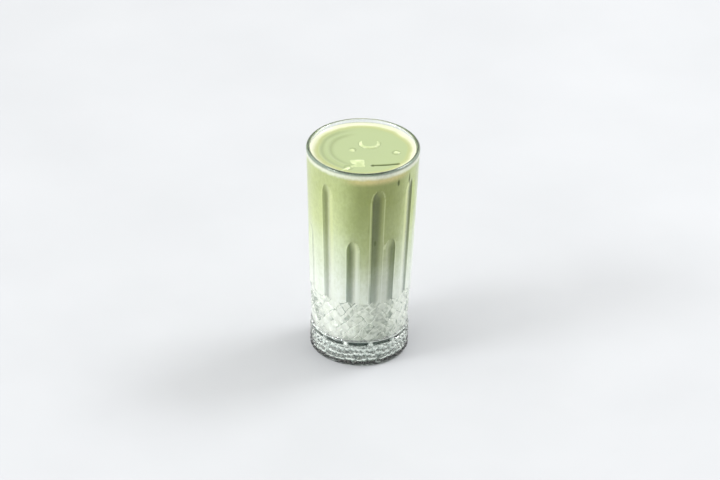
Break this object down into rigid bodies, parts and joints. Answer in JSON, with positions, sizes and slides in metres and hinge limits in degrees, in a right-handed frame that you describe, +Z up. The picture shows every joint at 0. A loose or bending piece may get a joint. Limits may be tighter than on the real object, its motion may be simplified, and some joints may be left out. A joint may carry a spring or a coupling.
{
  "type": "iced matcha latte",
  "caption": "Tall cut-glass tumbler of iced matcha latte, green above fading to milk below, with a fluted wall, a band of diamond cuts and a thick pebbled foot.",
  "frame": {"origin": "middle of the foot's underside, on the surface that the glass stands on", "axes": "+Z up along the glass, -Y towards the front, +X to the right seen from the front"},
  "size_m": [0.073, 0.073, 0.146],
  "materials": {
    "glass": "clear pressed soda-lime glass, fire-polished, with cut facets",
    "milk": "opaque white liquid, wet",
    "matcha": "opaque pale green liquid, wet, paler at the surface"
  },
  "bodies": {
    "root": {"glass": "glass", "milk": "milk", "matcha": "matcha"}
  },
  "joints": []
}
